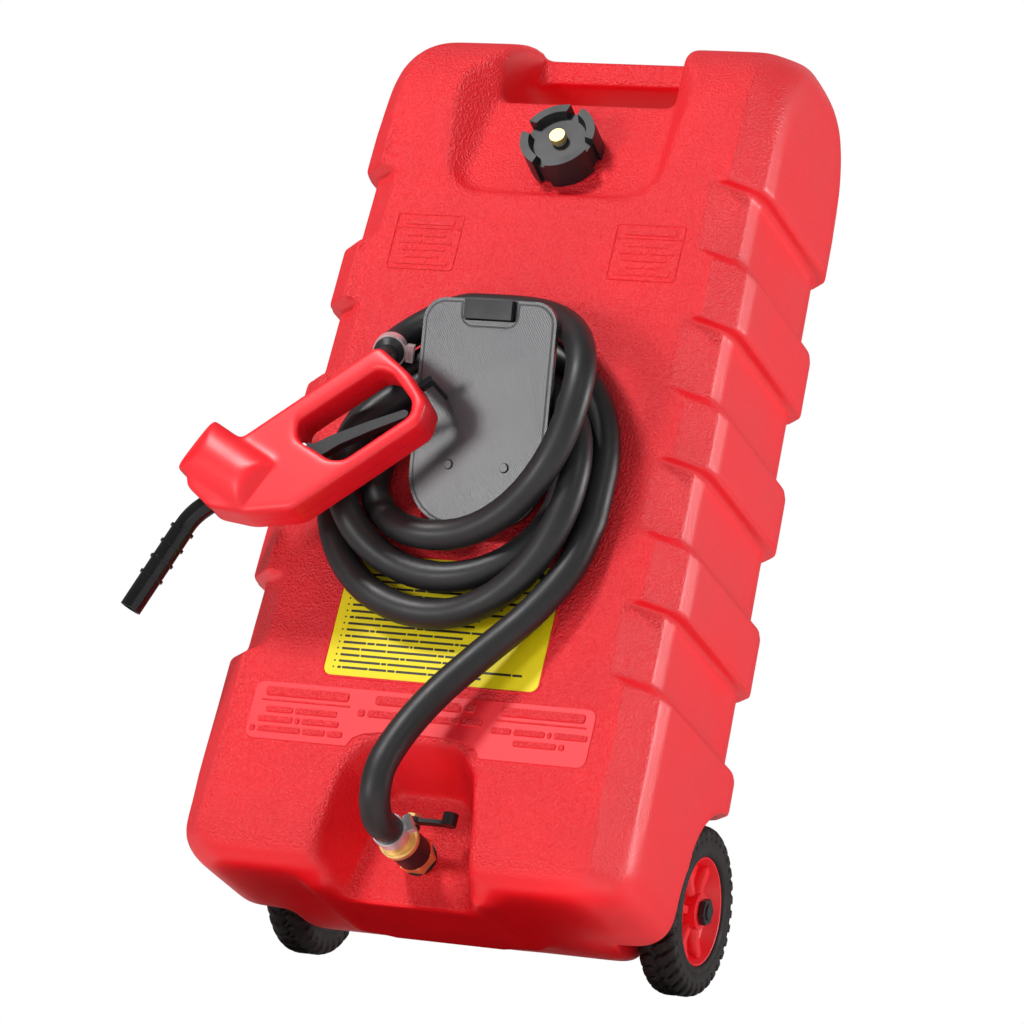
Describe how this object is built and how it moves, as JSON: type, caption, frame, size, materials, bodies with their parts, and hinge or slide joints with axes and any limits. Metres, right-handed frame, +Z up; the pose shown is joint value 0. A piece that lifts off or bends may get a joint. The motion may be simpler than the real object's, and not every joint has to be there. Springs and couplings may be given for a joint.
{
  "type": "fuel caddy",
  "caption": "Wheeled fuel caddy: banded moulded tank with grip bar, screw cap, hung hose with hand nozzle, leaning hose plate and a ball valve at the foot.",
  "frame": {"origin": "on the floor, on the foot's underside, in the middle plane of the tank", "axes": "+X to the right seen from the front, -Y out of the front face, +Z up"},
  "size_m": [0.5054, 0.449, 0.89],
  "materials": {
    "tank_red": "pebbled",
    "moulded_red": "satin",
    "black_plastic": "satin",
    "hose_rubber": "satin",
    "seal_rubber": "matt",
    "brass": "machined",
    "steel": "bright",
    "tyre": "matt",
    "white_plastic": "satin",
    "label": "satin"
  },
  "bodies": {
    "caddy": {"tank": "tank_red", "label": "label", "hose_plate": "black_plastic", "latch_spring": "steel", "plate_screws": "steel", "outlet_gasket": "seal_rubber", "outlet_fitting": "brass", "valve_body": "black_plastic", "valve_seats": "white_plastic", "valve_collar": "brass", "hose_barb": "brass", "hose_clamp_valve": "steel", "hose_coil": "hose_rubber", "hose_lead": "hose_rubber", "hose_tail": "hose_rubber", "nozzle_shell_front": "moulded_red", "nozzle_shell_back": "moulded_red", "nozzle_screws": "steel", "nozzle_valve_body": "brass", "nozzle_spring": "steel", "trigger_pin": "steel", "nozzle_spout": "black_plastic", "spout_nut": "black_plastic", "nozzle_inlet": "black_plastic", "hose_clamp_nozzle": "steel", "nozzle_hook": "black_plastic", "axle": "steel", "washer_left": "steel", "washer_right": "steel", "axle_cap_left": "black_plastic", "axle_cap_right": "black_plastic"},
    "gasket": {"cap_gasket": "seal_rubber"},
    "cap": {"filler_cap": "black_plastic", "vent_spring": "steel"},
    "vent": {"vent_stem": "brass"},
    "valve": {"valve_lever": "black_plastic", "lever_nut": "brass", "valve_stem": "brass", "valve_ball": "steel"},
    "wheel_left": {"rim_left": "moulded_red", "tyre_left": "tyre", "bush_left": "white_plastic"},
    "wheel_right": {"rim_right": "moulded_red", "tyre_right": "tyre", "bush_right": "white_plastic"},
    "trigger": {"nozzle_trigger": "black_plastic"},
    "poppet": {"nozzle_poppet": "steel"},
    "latch": {"plate_latch": "black_plastic"}
  },
  "joints": [
    {"name": "cap_rise", "type": "slide", "parent": "caddy", "child": "gasket", "axis": [0, -0.9781, 0.2079], "range_m": [0, 0.00751]},
    {"name": "cap_unscrew", "type": "hinge", "parent": "gasket", "child": "cap", "pos_m": [0, -0.1116, 0.743], "axis": [0, -0.9781, 0.2079], "range_deg": [0, 540]},
    {"name": "vent_press", "type": "slide", "parent": "cap", "child": "vent", "axis": [0, 0.9781, -0.2079], "range_m": [0, 0.002], "stiffness_N_per_m": 600},
    {"name": "valve_turn", "type": "hinge", "parent": "caddy", "child": "valve", "pos_m": [0, -0.112, 0.047], "axis": [0, 0, -1], "range_deg": [0, 90]},
    {"name": "wheel_left_spin", "type": "hinge", "parent": "caddy", "child": "wheel_left", "pos_m": [-0.19, 0.107, 0.08], "axis": [1, 0, 0], "continuous": true},
    {"name": "wheel_right_spin", "type": "hinge", "parent": "caddy", "child": "wheel_right", "pos_m": [0.19, 0.107, 0.08], "axis": [1, 0, 0], "continuous": true},
    {"name": "trigger_pull", "type": "hinge", "parent": "caddy", "child": "trigger", "pos_m": [-0.13036, -0.229, 0.37599], "axis": [0, -1, 0], "range_deg": [0, 12], "stiffness_Nm_per_rad": 3},
    {"name": "poppet_open", "type": "slide", "parent": "caddy", "child": "poppet", "axis": [0.6561, 0, -0.7547], "range_m": [0, 0.0067]},
    {"name": "latch_press", "type": "slide", "parent": "caddy", "child": "latch", "axis": [0, 0.9496, 0.3134], "range_m": [0, 0.003], "stiffness_N_per_m": 800}
  ],
  "couplings": [
    {"joint": "cap_rise", "follows": "cap_unscrew", "m_per_rad": 0.00079577},
    {"joint": "poppet_open", "follows": "trigger_pull", "m_per_rad": 0.0315}
  ]
}
